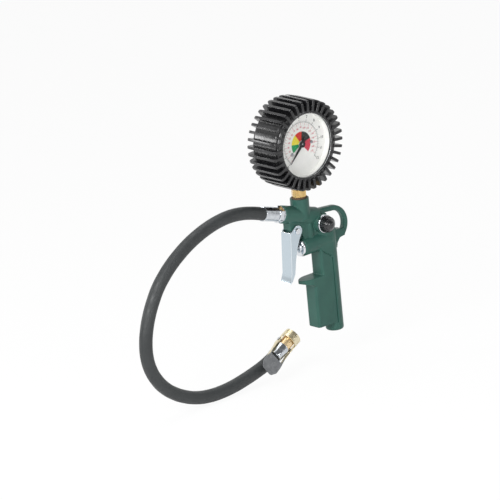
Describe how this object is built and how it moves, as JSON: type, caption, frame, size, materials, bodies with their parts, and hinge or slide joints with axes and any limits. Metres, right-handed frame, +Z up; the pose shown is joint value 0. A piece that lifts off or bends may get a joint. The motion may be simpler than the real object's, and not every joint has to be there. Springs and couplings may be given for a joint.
{
  "type": "tyre inflator with gauge",
  "caption": "Hand-held tyre inflator: painted pistol body with trigger lever and bleed button, rubber-guarded dial gauge on top, short rubber hose with a clip-on chuck.",
  "frame": {"origin": "centre of the air inlet's mouth, at the bottom of the grip", "axes": "+Z up along the grip and the gauge's neck, +X backward away from the hose, -Y is the side that the dial faces"},
  "size_m": [0.2555, 0.04, 0.2545],
  "materials": {
    "green_paint": "satin powder coat on cast aluminium",
    "brass": "turned, bright",
    "fibre_brown": "matt fibre washer",
    "case_black": "black paint on pressed steel",
    "bezel_silver": "satin",
    "lens_clear": "clear",
    "guard_rubber": "semi-matt moulded",
    "dial_white": "matt white print",
    "steel": "plain",
    "pointer_black": "matt",
    "chrome": "bright plated",
    "ferrule_zinc": "bright zinc",
    "hose_rubber": "matt, fine woven impression",
    "seal_rubber": "matt",
    "bezel_black": "moulded"
  },
  "bodies": {
    "gun": {"gun_body": "green_paint", "gauge_stem": "brass", "stem_washer": "fibre_brown", "gauge_case": "case_black", "case_screws": "steel", "gauge_bezel": "bezel_silver", "gauge_lens": "lens_clear", "gauge_guard": "guard_rubber", "dial_plate": "dial_white", "dial_screws": "steel", "front_plate": "brass", "back_plate": "brass", "plate_screws": "steel", "bourdon_tube": "brass", "tube_link": "steel", "hairspring": "steel", "hose_nipple": "chrome", "nipple_washer": "chrome", "hose_ferrule": "ferrule_zinc", "air_hose": "hose_rubber", "chuck_ferrule": "ferrule_zinc", "chuck_body": "brass", "chuck_seal": "seal_rubber", "chuck_core_pin": "brass", "clip_pin": "steel", "clip_spring": "steel", "trigger_pin": "chrome", "gland_nut": "chrome", "stem_o_ring": "seal_rubber", "valve_seat": "brass", "valve_spring": "steel", "bleed_nut": "chrome", "bleed_bezel": "bezel_black", "bleed_spring": "steel"},
    "trigger": {"trigger_lever": "chrome"},
    "valve": {"valve_stem": "steel", "valve_disc": "seal_rubber"},
    "bleed": {"bleed_button": "bezel_black", "bleed_pin": "brass", "bleed_disc": "seal_rubber"},
    "sector": {"sector_gear": "brass"},
    "pointer": {"pointer_arbor": "steel", "pointer": "pointer_black"},
    "clip": {"chuck_clip": "steel"}
  },
  "joints": [
    {"name": "trigger_pull", "type": "hinge", "parent": "gun", "child": "trigger", "pos_m": [-0.0396, 0, 0.1058], "axis": [0, -1, 0], "range_deg": [0, 8], "stiffness_Nm_per_rad": 1.5, "springref_deg": -8.59, "deforming": ["valve_spring"]},
    {"name": "valve_push", "type": "slide", "parent": "gun", "child": "valve", "axis": [1, 0, 0], "range_m": [0, 0.00254]},
    {"name": "bleed_press", "type": "slide", "parent": "gun", "child": "bleed", "axis": [0, 1, 0], "range_m": [0, 0.002], "stiffness_N_per_m": 1000, "springref_m": -0.002, "deforming": ["bleed_spring"]},
    {"name": "sector_turn", "type": "hinge", "parent": "gun", "child": "sector", "pos_m": [-0.02019, 0, 0.17586], "axis": [0, 1, 0], "range_deg": [-33.75, 0], "stiffness_Nm_per_rad": 0.004, "springref_deg": 5.73, "deforming": ["hairspring"]},
    {"name": "pointer_turn", "type": "hinge", "parent": "gun", "child": "pointer", "pos_m": [-0.0285, 0, 0.1865], "axis": [0, 1, 0], "range_deg": [0, 270]},
    {"name": "clip_open", "type": "hinge", "parent": "gun", "child": "clip", "pos_m": [-0.06231, 0, 0.00208], "axis": [0.4353, -0.3746, -0.8187], "range_deg": [0, 7], "stiffness_Nm_per_rad": 1.2, "springref_deg": -11.46, "deforming": ["clip_spring"]}
  ],
  "couplings": [
    {"joint": "valve_push", "follows": "trigger_pull", "m_per_rad": 0.01815},
    {"joint": "pointer_turn", "follows": "sector_turn", "ratio": -8}
  ]
}
